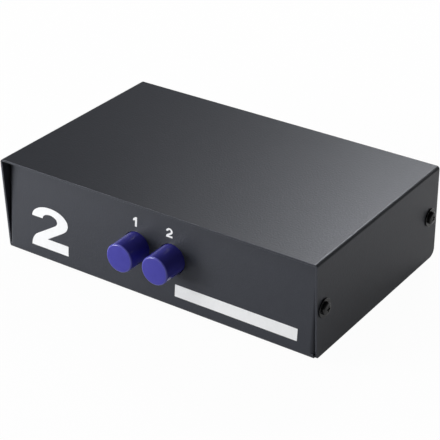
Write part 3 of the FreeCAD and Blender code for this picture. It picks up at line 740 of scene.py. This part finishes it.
def coil_mesh(name, length, radius, wire):
    """A helix along Z from 0 to length, with its end turns closed."""
    curve = bpy.data.curves.new(name, "CURVE")
    curve.dimensions, curve.bevel_depth, curve.bevel_resolution = "3D", wire / 2, 3
    curve.use_fill_caps = True
    line = curve.splines.new("POLY")
    last = turns * steps_a_turn
    line.points.add(last)
    closed = closed_turns / turns
    open_length = length - wire - 2 * closed_rise * wire
    for k in range(last + 1):
        share = k / last
        open_share = min(max((share - closed) / (1 - 2 * closed), 0), 1)
        closed_share = (min(share, closed) + max(share - 1 + closed, 0)) / closed
        height = wire / 2 + closed_rise * wire * closed_share + open_length * open_share
        angle = 2 * math.pi * turns * share
        line.points[k].co = (radius * math.cos(angle), radius * math.sin(angle), height, 1)
    mesh = curve_mesh(name, curve)
    mesh.shade_smooth()
    return mesh


def spring(node, axis, travel, wire):
    """A coil in the space of a node. It keeps its rest length; the travel only gives the pressed
    length that is printed.
    """
    low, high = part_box(node)
    middle, size = (low + high) / 2, high - low
    along = Vector([1.0 if k == axis else 0.0 for k in range(3)])
    length, radius = size[axis], (size[(axis + 1) % 3] - wire) / 2
    mesh = coil_mesh(f"{node}_coil", length, radius, wire)
    start = middle - along * (length / 2)
    mesh.transform(Matrix.Translation(start) @ along.to_track_quat("Z", "Y").to_matrix().to_4x4())
    piece = placed(f"{node}_coil", mesh, slot_of[node], body_of[node], node)
    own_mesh(piece)
    print(f"{piece.name}: {length / mm:.1f} mm at rest, {(length - travel) / mm:.1f} mm pressed")


for number in (1, 2):
    spring(f"return_spring_{number}", y_axis,
           travel=4.0 * mm, wire=0.5 * mm)
spring("interlock_spring", x_axis, travel=1.2 * mm, wire=0.3 * mm)

# %% [markdown]
# ## Finishes for the nodes that stay
# The pins, clips, spacers and plates already have their true shape. They keep their nodes
# and take the finish of their slot.

# %% Finish the remaining nodes
for name, node in nodes.items():
    if not node.hide_render:
        material = finishes[slot_of[name]].material
        node.data.materials.clear()
        node.data.materials.append(material)
        print(name, "takes", material.name)

# %% [markdown]
# ## Floor, sky and lamps
# The photograph is a catalogue shot on white. The floor is pale and really receives the
# shadow. For camera and transmission rays most of it gives out plain white, which whitens the
# picture's ground and spares the object any extra light. Glossy rays see that white too, but
# thinner: a satin wall that mirrored all of it would carry a veil that the real one lacks.
# The sky works the same way, white to the camera and dim to the object. The floor lies a
# hair below the feet, so that their soles and the floor never share a plane.

# %% Floor
def white_share(owner, direct, glossy):
    """How much plain white a ray sees: direct for camera and transmission rays, glossy for
    glossy ones, and none for the rest."""
    path = owner.tree.nodes.new("ShaderNodeLightPath")
    camera_ray, glossy_ray, through_ray = (Wire(owner, path.outputs[f"Is {kind} Ray"])
                                           for kind in ("Camera", "Glossy", "Transmission"))
    return (camera_ray + through_ray) * direct + glossy_ray * glossy


floor_reach, floor_drop = 4.0, 0.02 * mm
floor_white, floor_white_glossy = 0.97, 0.22
white = grey(1.0)

floor_mesh = bpy.data.meshes.new("floor")
floor_mesh.from_pydata([(x * floor_reach, y * floor_reach, -floor_drop)
                        for x, y in ((-1, -1), (1, -1), (1, 1), (-1, 1))], [], [(0, 1, 2, 3)])
floor = bpy.data.objects.new("floor", floor_mesh)
bpy.context.scene.collection.objects.link(floor)
ground = Finish("white floor", {"Base Color": grey(0.8), "Roughness": 0.9})
glow = ground.node("ShaderNodeEmission", {}, {"Color": white, "Strength": 1.0})
lit = Wire(ground, ground.surface.outputs["BSDF"])
share = white_share(ground, floor_white, floor_white_glossy)
whitened = ground.node("ShaderNodeMixShader", {}, {0: share, 1: lit, 2: glow})
ground.feed(ground.tree.nodes["Material Output"], "Surface", whitened)
floor_mesh.materials.append(ground.material)

# %% Sky
sky_fill, sky_glossy = 0.1, 0.02
world = bpy.data.worlds.new("studio")
bpy.context.scene.world = world
world.use_nodes = True
sky = Tree(world.node_tree)
background = world.node_tree.nodes["Background"]
sky.feed(background, "Color", white)
sky.feed(background, "Strength", white_share(sky, 1 - sky_fill, sky_glossy) + sky_fill)

# %% [markdown]
# The lamps follow the photograph's light. A big soft box stands low at the front left: it
# lights the print and leaves a sheen on the panel that fades to the right. A smaller one
# hangs above it for the glint on the caps' rims. Two small ones hang behind, where the lid
# mirrors them, so the lid runs from dark at the left to grey at the right front corner. The
# others fill the left side and the back.

# %% Lamps
def softbox(name, place, target, size, power):
    light = bpy.data.lights.new(name, "AREA")
    light.shape, light.energy = "RECTANGLE", power
    light.size, light.size_y = size
    lamp = bpy.data.objects.new(name, light)
    lamp.location = place
    lamp.rotation_euler = (Vector(target) - Vector(place)).to_track_quat("-Z", "Y").to_euler()
    bpy.context.scene.collection.objects.link(lamp)


middle, lid_right = (0, 0, 0.02), (0.04, 0, 0.03)
softbox("front_left_box", (-0.6, -0.6, 0.12), middle, size=(0.4, 0.4), power=8.1)
softbox("glint_box", (-0.4, -0.37, 0.57), middle, size=(0.3, 0.2), power=1.5)
softbox("left_box", (-0.69, 0, 0.4), middle, size=(0.4, 0.4), power=1.0)
softbox("lid_sheen_box", (-0.1, 0.45, 0.45), lid_right, size=(0.16, 0.16), power=1.15)
softbox("lid_near_box", (-0.1, 0.25, 0.35), lid_right, size=(0.2, 0.2), power=0.21)
softbox("rear_box", (0, 0.78, 0.17), middle, size=(0.4, 0.4), power=1.5)
bpy.context.scene.view_settings.view_transform = "Standard"
